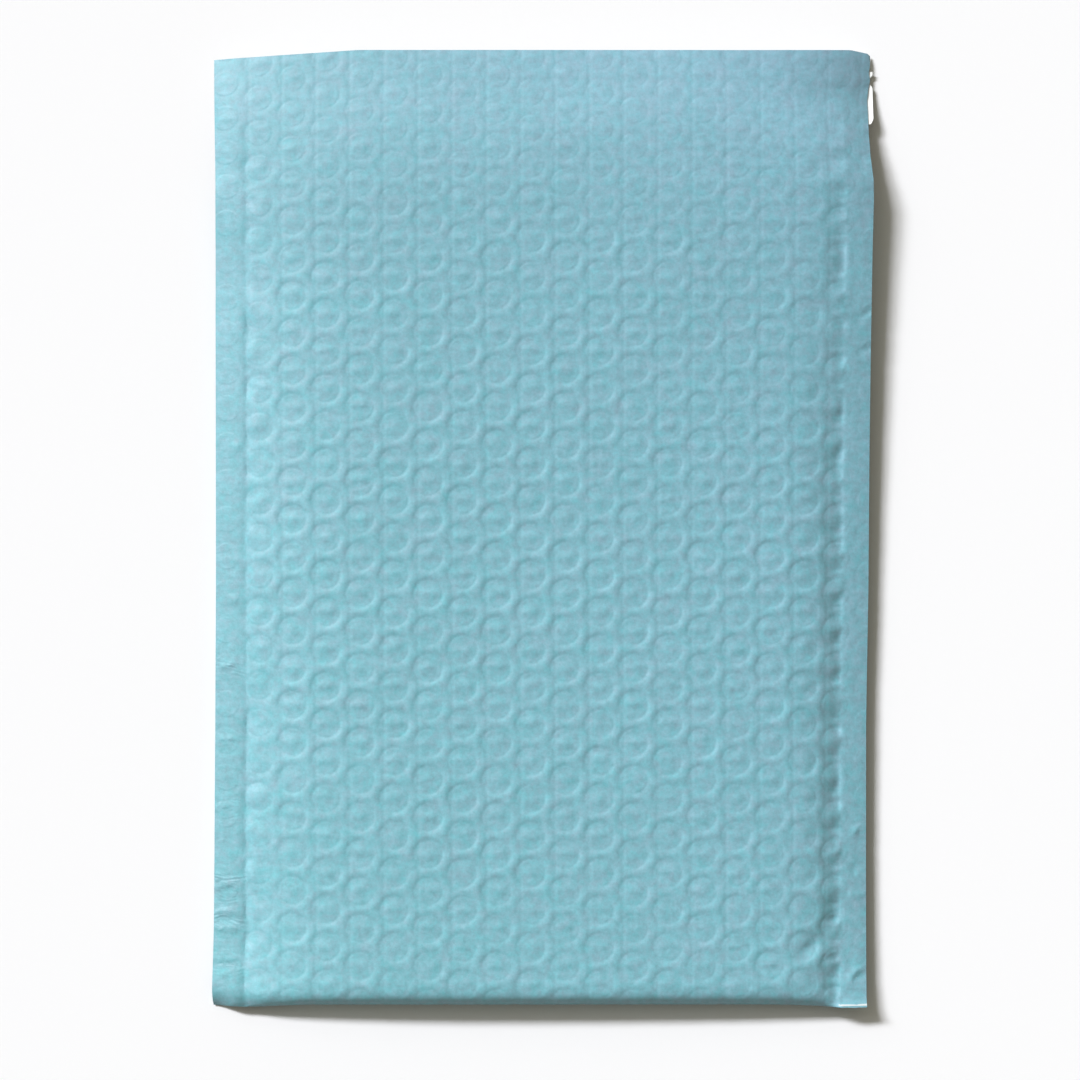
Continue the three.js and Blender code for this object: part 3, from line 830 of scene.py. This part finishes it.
def flat_web():
    """The web laid flat, tiled with bubble cells and cut to its width and length."""
    border = cell_border()
    fine = (cell_points(border, BACK_RINGS), cell_faces(len(border), len(BACK_RINGS)))
    folded = (cell_points(border, FOLD_RINGS), cell_faces(len(border), len(FOLD_RINGS)))
    plain = (cell_points(border, FRONT_RINGS), cell_faces(len(border), len(FRONT_RINGS)))
    points = []
    faces = []
    for column in COLUMN_RANGE:
        for row in ROW_RANGE:
            x = FIRST_COLUMN + column * COLUMN_PITCH
            along = FIRST_ROW + (row + (0.5 if column % 2 else 0.0)) * ROW_PITCH
            shape, cell = plain
            if along > FOLD_STOP - ROW_PITCH / 2:
                shape, cell = fine
            elif along > FOLD_START - ROW_PITCH / 2:
                shape, cell = folded
            start = len(points)
            points.extend((x + across, along + up, 0.0) for across, up in shape)
            faces.extend(tuple(start + index for index in face) for face in cell)
    mesh = bpy.data.meshes.new("flat_web")
    mesh.from_pydata(points, [], faces)
    web = bmesh.new()
    web.from_mesh(mesh)
    bpy.data.meshes.remove(mesh)
    bmesh.ops.remove_doubles(web, verts=web.verts, dist=CELL_WELD)
    cut_web(web, (LEFT_EDGE, 0, 0), (-1, 0, 0), True)
    cut_web(web, (RIGHT_EDGE, 0, 0), (1, 0, 0), True)
    cut_web(web, (0, 0, 0), (0, -1, 0), True)
    cut_web(web, (0, WEB_LENGTH, 0), (0, 1, 0), True)
    cut_web(web, (LEFT_SEAL_LINE, 0, 0), (-1, 0, 0), False)
    cut_web(web, (RIGHT_SEAL_LINE, 0, 0), (1, 0, 0), False)
    return web


def cut_web(web, point, direction, away):
    """Cuts the flat web along a line, and takes away what lies past it where that is asked."""
    parts = web.verts[:] + web.edges[:] + web.faces[:]
    bmesh.ops.bisect_plane(
        web, geom=parts, dist=CUT_WELD, plane_co=point, plane_no=direction, clear_outer=away
    )


def lining_faces(rim, edges):
    """Points and triangles of the web's inner face: the outer face's rim and a plain grid inside it."""
    points = [Vector(place) for place in rim]
    across = np.arange(LEFT_EDGE + LINING_STEP / 2, RIGHT_EDGE, LINING_STEP)
    lengths = np.arange(LINING_STEP / 2, WEB_LENGTH, LINING_STEP)
    round_fold = np.linspace(FOLD_START, FOLD_STOP, LINING_FOLD_STEPS)
    off_fold = (lengths < FOLD_START - MM) | (lengths > FOLD_STOP + MM)
    lengths = np.concatenate([lengths[off_fold], round_fold])
    for x in across:
        for along in lengths:
            points.append(Vector((x, along)))
    on_back = np.arange(FOLD_STOP + SEAL_LINING_STEP, WEB_LENGTH - FLAP_LENGTH, SEAL_LINING_STEP)
    round_fold = np.linspace(FOLD_START, FOLD_STOP, SEAL_LINING_FOLD_STEPS)
    seal_lengths = np.concatenate([round_fold, on_back])
    by_seal = [LEFT_SEAL_LINE + offset for offset in SEAL_LINING_OFFSETS]
    by_seal += [RIGHT_SEAL_LINE - offset for offset in SEAL_LINING_OFFSETS]
    for x in by_seal:
        for along in seal_lengths:
            points.append(Vector((x, along)))
    found = delaunay_2d_cdt(points, edges, [], 1, LINING_WELD)
    return np.array([tuple(p) for p in found[0]]), found[2], found[3]


def mailer_film(lattice):
    """The whole web as a closed sheet: outer face, inner face and the cut rim between them."""
    web = flat_web()
    web.verts.index_update()
    outer = np.array([vertex.co[:2] for vertex in web.verts])
    outer_faces = [tuple(v.index for v in face.verts) for face in web.faces]
    rim_edges = []
    for edge in web.edges:
        if edge.is_boundary:
            loop = edge.link_loops[0]
            rim_edges.append((loop.vert.index, loop.link_loop_next.vert.index))
    web.free()
    rim_order = sorted({index for edge in rim_edges for index in edge})
    rim_place = {index: place for place, index in enumerate(rim_order)}
    cdt_edges = [(rim_place[a], rim_place[b]) for a, b in rim_edges]
    inner, inner_faces, sources = lining_faces(outer[rim_order], cdt_edges)
    inner_of = {}
    for index, origins in enumerate(sources):
        for origin in origins:
            inner_of[origin] = index
    base = len(outer)
    faces = list(outer_faces)
    faces.extend(tuple(base + i for i in reversed(face)) for face in inner_faces)
    first_rim = len(faces)
    for a, b in rim_edges:
        under_a = base + inner_of[rim_place[a]]
        under_b = base + inner_of[rim_place[b]]
        faces.append((b, a, under_a, under_b))
    flat = np.concatenate([outer, inner])
    x, along = flat.T
    outward = broad_relief(x, along)
    outward[:base] += lattice.marks(*outer.T)
    outward[base:] -= web_wall(*inner.T)
    mesh = bpy.data.meshes.new("mailer_film")
    mesh.from_pydata(placed(x, along, outward).tolist(), [], faces)
    film = bpy.data.objects.new("mailer_film", mesh)
    bpy.context.scene.collection.objects.link(film)
    is_lining = np.zeros(len(faces), dtype=np.int32)
    is_lining[len(outer_faces):first_rim] = 1
    mesh.polygons.foreach_set("material_index", is_lining)
    write_flat_map(mesh, flat)
    write_values(mesh, "in_bubble", lattice.inside(x, along))
    write_values(mesh, "bubble_tone", lattice.tones(x, along))
    write_values(mesh, "crinkled", crinkle_mask(x, along))
    write_values(mesh, "unsealed", 1.0 - pressed_flat(x, along))
    finish_shading(film)
    return film


def write_flat_map(mesh, flat):
    """Keeps each point's place on the flat web as a UV map, in metres."""
    corners = np.empty(len(mesh.loops), dtype=np.int32)
    mesh.loops.foreach_get("vertex_index", corners)
    layer = mesh.uv_layers.new(name="flat_web")
    layer.uv.foreach_set("vector", flat[corners].astype(np.float32).ravel())


def write_values(mesh, name, values):
    """Keeps one value for each point as an attribute."""
    layer = mesh.attributes.new(name, "FLOAT", "POINT")
    layer.data.foreach_set("value", values.astype(np.float32))


def finish_shading(piece):
    """Smooth shading with crisp cut edges."""
    bpy.ops.object.select_all(action="DESELECT")
    piece.select_set(True)
    bpy.context.view_layer.objects.active = piece
    bpy.ops.object.shade_smooth_by_angle(angle=CRISP_EDGE_ANGLE)


def release_strip():
    """The peel-off strip under the flap, whose right end peeks out."""
    bpy.ops.object.select_all(action="DESELECT")
    bpy.ops.mesh.primitive_grid_add(
        x_subdivisions=STRIP_CUTS_ACROSS, y_subdivisions=STRIP_CUTS_ALONG, size=1.0
    )
    strip = bpy.context.object
    strip.name = "release_strip"
    strip.data.name = "release_strip"
    count = len(strip.data.vertices)
    grid = np.empty(count * 3)
    strip.data.vertices.foreach_get("co", grid)
    grid = grid.reshape(count, 3)
    y = STRIP_LOW + (grid[:, 1] + 0.5) * STRIP_WIDTH
    corner = np.clip(1.0 - (y - STRIP_LOW) / STRIP_CORNER_RUN, 0.0, 1.0) ** 2
    notch = np.exp(-((y - STRIP_NOTCH_AT) / STRIP_NOTCH_WIDTH) ** STRIP_NOTCH_POWER)
    length = STRIP_RIGHT - STRIP_LEFT - STRIP_CORNER_CUT * corner - STRIP_NOTCH * notch
    x = STRIP_LEFT + (grid[:, 0] + 0.5) * length
    on_web = np.clip(x, LEFT_EDGE, RIGHT_EDGE)
    along = FOLD_STOP + y - FOLD_CENTRE
    under = back_height(on_web, y) - web_wall(on_web, along) - STRIP_GAP
    by_end = np.clip((x - STRIP_RIGHT + STRIP_END_RUN) / STRIP_END_RUN, 0.0, 1.0) ** 2
    under = under + STRIP_END_CURL * by_end
    under = np.maximum(under, STRIP_LOWEST)
    y = y - end_drop(on_web, y)
    places = np.stack([x, y, under], axis=1)
    strip.data.vertices.foreach_set("co", places.ravel())
    solid = strip.modifiers.new("thickness", "SOLIDIFY")
    solid.thickness = STRIP_THICKNESS
    solid.offset = -1.0
    bpy.ops.object.modifier_apply(modifier=solid.name)
    finish_shading(strip)
    return strip


class Nodes:
    """Adds and links the nodes of one material or node group."""

    def __init__(self, tree):
        self.tree = tree
        self.tree.nodes.clear()

    def add(self, kind, inputs=None, **settings):
        node = self.tree.nodes.new(kind)
        for name, value in settings.items():
            setattr(node, name, value)
        for name, value in (inputs or {}).items():
            if isinstance(value, bpy.types.NodeSocket):
                self.tree.links.new(value, node.inputs[name])
            else:
                node.inputs[name].default_value = value
        return node

    def math(self, operation, first, second=0.0):
        return self.add("ShaderNodeMath", {0: first, 1: second}, operation=operation).outputs[0]

    def times(self, first, *others):
        for other in others:
            first = self.math("MULTIPLY", first, other)
        return first

    def plus(self, first, *others):
        for other in others:
            first = self.math("ADD", first, other)
        return first

    def kept(self, name):
        return self.add("ShaderNodeAttribute", attribute_name=name).outputs["Fac"]

    def scaled(self, place, scale):
        return self.add("ShaderNodeMapping", {"Vector": place, "Scale": scale}).outputs["Vector"]

    def between(self, value, start, stop, low=0.0, high=1.0, easing="LINEAR"):
        """value, from start to stop, spread from low to high."""
        limits = {"From Min": start, "From Max": stop, "To Min": low, "To Max": high}
        node = self.add("ShaderNodeMapRange", {"Value": value, **limits}, interpolation_type=easing)
        return node.outputs["Result"]

    def noise(self, place, scale, detail=2.0, roughness=0.5, bend=0.0):
        inputs = {"Vector": place, "Scale": scale, "Detail": detail, "Roughness": roughness}
        return self.add("ShaderNodeTexNoise", {**inputs, "Distortion": bend}).outputs["Fac"]

    def blend(self, share, first, second):
        node = self.add("ShaderNodeMix", data_type="RGBA")
        for socket, value in zip((node.inputs[0], node.inputs[6], node.inputs[7]), (share, first, second)):
            if isinstance(value, bpy.types.NodeSocket):
                self.tree.links.new(value, socket)
            else:
                socket.default_value = value
        return node.outputs[2]


def new_material(name):
    material = bpy.data.materials.new(name)
    material.use_nodes = True
    return material, Nodes(material.node_tree)


def coat(nodes, colour, rough, height, more=None):
    """Ends a material: its colour, its roughness and its fine relief, a height in metres."""
    bump = nodes.add("ShaderNodeBump", {"Height": height, "Distance": 1.0, "Strength": 1.0})
    inputs = {"Base Color": colour, "Roughness": rough, "Normal": bump.outputs["Normal"]}
    shader = nodes.add("ShaderNodeBsdfPrincipled", {**inputs, **(more or {})})
    nodes.add("ShaderNodeOutputMaterial", {"Surface": shader.outputs["BSDF"]})


def film_grain_group():
    """Fine grain of thin film: a height in metres, a tone and a tint, both from 0 to 1."""
    group = bpy.data.node_groups.new("film_grain", "ShaderNodeTree")
    group.interface.new_socket("Place", in_out="INPUT", socket_type="NodeSocketVector")
    group.interface.new_socket("Grain Height", in_out="INPUT", socket_type="NodeSocketFloat")
    group.interface.new_socket("Height", in_out="OUTPUT", socket_type="NodeSocketFloat")
    group.interface.new_socket("Tone", in_out="OUTPUT", socket_type="NodeSocketFloat")
    group.interface.new_socket("Tint", in_out="OUTPUT", socket_type="NodeSocketFloat")
    nodes = Nodes(group)
    given = nodes.add("NodeGroupInput").outputs
    place = given["Place"]
    fine = nodes.noise(place, GRAIN_FINE_SCALE)
    tone = nodes.noise(place, GRAIN_TONE_SCALE, GRAIN_DETAIL, GRAIN_ROUGHNESS)
    moved = nodes.add("ShaderNodeVectorMath", {0: place, 1: GRAIN_TINT_OFFSET}, operation="ADD")
    elsewhere = moved.outputs["Vector"]
    tint = nodes.noise(elsewhere, GRAIN_TINT_SCALE, GRAIN_DETAIL, GRAIN_ROUGHNESS)
    cloud = nodes.math("SUBTRACT", nodes.noise(elsewhere, GRAIN_CLOUD_SCALE, 1.0), 0.5)
    tint = nodes.plus(tint, nodes.times(cloud, GRAIN_CLOUD_SHARE))
    height = nodes.times(nodes.plus(fine, tone), given["Grain Height"])
    nodes.add("NodeGroupOutput", {"Height": height, "Tone": tone, "Tint": tint})
    return group


def column_line(nodes, across_web):
    """1 on the straight line that runs down each bubble column, just left of its domes."""
    off = nodes.math("SUBTRACT", across_web, FIRST_COLUMN + COLUMN_LINE_OFFSET)
    off = nodes.math("PINGPONG", off, COLUMN_PITCH / 2)
    return nodes.between(off, 0.0, COLUMN_LINE_WIDTH, 1.0, 0.0, "SMOOTHSTEP")


def teal_film_material(grain):
    """Satin teal film: fine mottled grain, column lines, creases in the bubbles, crinkles on the seals,
    and painted light in its colour: a sheen towards the flap's end, shading lighter at the foot, a bluish
    reflection and bluer light on the right.
    """
    material, nodes = new_material("teal_film")
    place = nodes.add("ShaderNodeUVMap", uv_map="flat_web").outputs["UV"]
    inputs = {"Place": place, "Grain Height": FILM_GRAIN_HEIGHT}
    film = nodes.add("ShaderNodeGroup", inputs, node_tree=grain).outputs
    on_web = nodes.add("ShaderNodeSeparateXYZ", {0: place}).outputs
    across_web = on_web["X"]
    up_web = on_web["Y"]
    # random tint of the film, leaning to lilac towards the right: painted light for the bluer light there
    tint = nodes.plus(film["Tint"], nodes.times(across_web, PAINTED_LIGHT_TINT_SLANT))
    tint = nodes.between(tint, *TINT_RANGE)
    colour = nodes.blend(tint, TEAL_COOL, TEAL_LILAC)
    lighter = nodes.between(film["Tone"], 0.0, 1.0, *TONE_SPREAD)
    by_bubble = nodes.between(nodes.kept("bubble_tone"), 0.0, 1.0, *BUBBLE_TONE_SPREAD)
    # painted shading: lighter towards the foot, darker towards the flap
    painted_shading = nodes.between(up_web, FOLD_STOP, WEB_LENGTH, PAINTED_SHADING_FOOT, PAINTED_SHADING_FLAP)
    value = nodes.times(lighter, by_bubble, painted_shading)
    # painted sheen: a pale bluish colour mixed in towards the flap's free end, stronger on the right
    painted_sheen = nodes.between(up_web, PAINTED_SHEEN_START, WEB_LENGTH)
    to_right = nodes.plus(nodes.times(across_web, PAINTED_SHEEN_SLANT), 1.0)
    painted_sheen = nodes.times(painted_sheen, painted_sheen, PAINTED_SHEEN_SHARE, to_right)
    colour = nodes.add("ShaderNodeHueSaturation", {"Value": value, "Color": colour}).outputs["Color"]
    colour = nodes.blend(painted_sheen, colour, PAINTED_SHEEN_COLOUR)
    # painted reflection: more blue towards the flap and the right
    painted_blue_reflection = nodes.between(up_web, FOLD_STOP, WEB_LENGTH, PAINTED_REFLECTION_BLUE_FOOT, PAINTED_REFLECTION_BLUE_FLAP)
    painted_blue_reflection = nodes.plus(painted_blue_reflection, nodes.times(across_web, PAINTED_REFLECTION_BLUE_SLANT))
    parts = nodes.add("ShaderNodeSeparateColor", {"Color": colour}).outputs
    blue = nodes.times(parts["Blue"], painted_blue_reflection)
    mixed = {"Red": parts["Red"], "Green": parts["Green"], "Blue": blue}
    colour = nodes.add("ShaderNodeCombineColor", mixed).outputs["Color"]
    wrinkle = nodes.noise(nodes.scaled(place, BUBBLE_WRINKLE_SCALE), 1.0, 1.0)
    wrinkle = nodes.times(wrinkle, nodes.kept("in_bubble"), BUBBLE_WRINKLE_HEIGHT)
    crinkle = nodes.noise(nodes.scaled(place, SEAL_CRINKLE_SCALE), 1.0, bend=SEAL_CRINKLE_BEND)
    bend = nodes.noise(nodes.scaled(place, SEAL_WAVE_BEND_SCALE), 1.0, 0.0)
    bend = nodes.times(bend, SEAL_WAVE_BEND)
    wave = nodes.times(nodes.plus(up_web, bend), 2 * math.pi / SEAL_WAVE_PITCH)
    patch = nodes.between(nodes.noise(place, SEAL_WAVE_PATCH_SCALE, 1.0), *SEAL_WAVE_PATCH)
    wave = nodes.times(nodes.math("SINE", wave), patch, SEAL_WAVE_HEIGHT)
    crinkle = nodes.plus(nodes.times(crinkle, SEAL_CRINKLE_HEIGHT), wave)
    crinkle = nodes.times(crinkle, nodes.kept("crinkled"))
    line = nodes.times(column_line(nodes, across_web), nodes.kept("unsealed"), -COLUMN_LINE_DEPTH)
    height = nodes.plus(film["Height"], wrinkle, crinkle, line)
    rough = nodes.between(film["Tone"], 0.0, 1.0, *FILM_ROUGHNESS)
    coat(nodes, colour, rough, height, {"IOR": FILM_IOR, "Specular IOR Level": FILM_GLOSS})
    return material


def pale_lining_material(grain):
    """The inner face: pale, slightly cloudy bubble film."""
    material, nodes = new_material("pale_lining")
    place = nodes.add("ShaderNodeUVMap", uv_map="flat_web").outputs["UV"]
    inputs = {"Place": place, "Grain Height": LINING_GRAIN_HEIGHT}
    film = nodes.add("ShaderNodeGroup", inputs, node_tree=grain).outputs
    cloud = nodes.noise(place, LINING_CLOUD_SCALE, LINING_CLOUD_DETAIL)
    colour = nodes.blend(cloud, LINING_GREY, LINING_PALE)
    coat(nodes, colour, nodes.between(film["Tone"], 0.0, 1.0, *LINING_ROUGHNESS), film["Height"])
    return material


def white_liner_material(grain):
    """Coated white paper of the release strip, with a faint fibre mottle."""
    material, nodes = new_material("white_liner")
    place = nodes.add("ShaderNodeTexCoord").outputs["Object"]
    inputs = {"Place": place, "Grain Height": LINER_GRAIN_HEIGHT}
    paper = nodes.add("ShaderNodeGroup", inputs, node_tree=grain).outputs
    colour = nodes.blend(paper["Tone"], LINER_GREY, LINER_WHITE)
    coat(nodes, colour, nodes.between(paper["Tone"], 0.0, 1.0, *LINER_ROUGHNESS), paper["Height"])
    return material


def seen_directly(nodes):
    """1 for what the camera, a mirror or a glass sees, 0 for the light that falls on the mailer."""
    path = nodes.add("ShaderNodeLightPath").outputs
    seen = nodes.math("MAXIMUM", path["Is Camera Ray"], path["Is Glossy Ray"])
    return nodes.math("MAXIMUM", seen, path["Is Transmission Ray"])


def studio_floor():
    """A plain white floor that keeps the mailer's shadow."""
    bpy.ops.object.select_all(action="DESELECT")
    bpy.ops.mesh.primitive_plane_add(size=FLOOR_SIZE)
    floor = bpy.context.object
    floor.name = "studio_floor"
    material, nodes = new_material("white_floor")
    white = nodes.add("ShaderNodeBsdfDiffuse", {"Color": FLOOR_WHITE})
    dull = nodes.add("ShaderNodeBsdfDiffuse", {"Color": FLOOR_DULL})
    seen = seen_directly(nodes)
    mixed = nodes.add("ShaderNodeMixShader", {0: seen, 1: dull.outputs[0], 2: white.outputs[0]})
    nodes.add("ShaderNodeOutputMaterial", {"Surface": mixed.outputs[0]})
    floor.data.materials.append(material)
    return floor


def studio_light():
    """A key lamp and its soft glow from the upper left, and a white room with a dim, warm, uneven fill."""
    reach = 1.0 / math.tan(KEY_ELEVATION)
    towards = Vector((reach * math.cos(KEY_PLAN_ANGLE), reach * math.sin(KEY_PLAN_ANGLE), 1.0))
    lamps = [("glow", GLOW_SHARE, GLOW_SPREAD, 0.0)]
    for place, aside in enumerate(KEY_LENGTH):
        lamps.append((f"key_{place}", KEY_SHARE / len(KEY_LENGTH), KEY_SPREAD, aside))
    for name, share, spread, aside in lamps:
        way = (towards + Vector((aside, 0.0, 0.0))).normalized()
        light = bpy.data.lights.new(name, "SUN")
        light.energy = share * math.pi / way.z
        light.angle = spread
        light.color = KEY_COLOUR
        lamp = bpy.data.objects.new(name, light)
        lamp.rotation_euler = way.to_track_quat("Z", "Y").to_euler()
        bpy.context.scene.collection.objects.link(lamp)
    world = bpy.data.worlds.new("studio")
    world.use_nodes = True
    nodes = Nodes(world.node_tree)
    seen = seen_directly(nodes)
    way = nodes.add("ShaderNodeTexCoord").outputs["Generated"]
    toward = nodes.add("ShaderNodeVectorMath", {0: way, 1: FILL_TOWARDS}, operation="DOT_PRODUCT")
    uneven = nodes.plus(toward.outputs["Value"], 1.0)
    fill_strength = nodes.times(uneven, FILL_SHARE)
    fill = nodes.add("ShaderNodeBackground", {"Color": FILL_COLOUR, "Strength": fill_strength})
    white = nodes.add("ShaderNodeBackground", {"Color": ROOM_WHITE, "Strength": 1.0})
    mixed = nodes.add("ShaderNodeMixShader", {0: seen, 1: fill.outputs[0], 2: white.outputs[0]})
    nodes.add("ShaderNodeOutputWorld", {"Surface": mixed.outputs[0]})
    bpy.context.scene.world = world


def camera_above():
    """A camera straight above the mailer, framed as the photograph is."""
    data = bpy.data.cameras.new("camera")
    data.sensor_width = SENSOR_WIDTH
    data.lens = SENSOR_WIDTH * (CAMERA_HEIGHT - OUTLINE_HEIGHT) / FRAME_WIDTH
    camera = bpy.data.objects.new("camera", data)
    camera.location = (FRAME_CENTRE[0], FRAME_CENTRE[1], CAMERA_HEIGHT)
    bpy.context.scene.collection.objects.link(camera)
    bpy.context.scene.camera = camera


def dress_mailer():
    """Makes the film and the release strip, and sets them in the frame."""
    grain = film_grain_group()
    film = mailer_film(BubbleLattice(LATTICE_SEED))
    film.data.materials.append(teal_film_material(grain))
    film.data.materials.append(pale_lining_material(grain))
    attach(film, "root")
    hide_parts("mailer_bag")
    strip = release_strip()
    strip.data.materials.append(white_liner_material(grain))
    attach(strip, "root")
    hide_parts("release_liner")


bpy.context.scene.view_settings.view_transform = "Standard"
dress_mailer()
studio_floor()
studio_light()
camera_above()
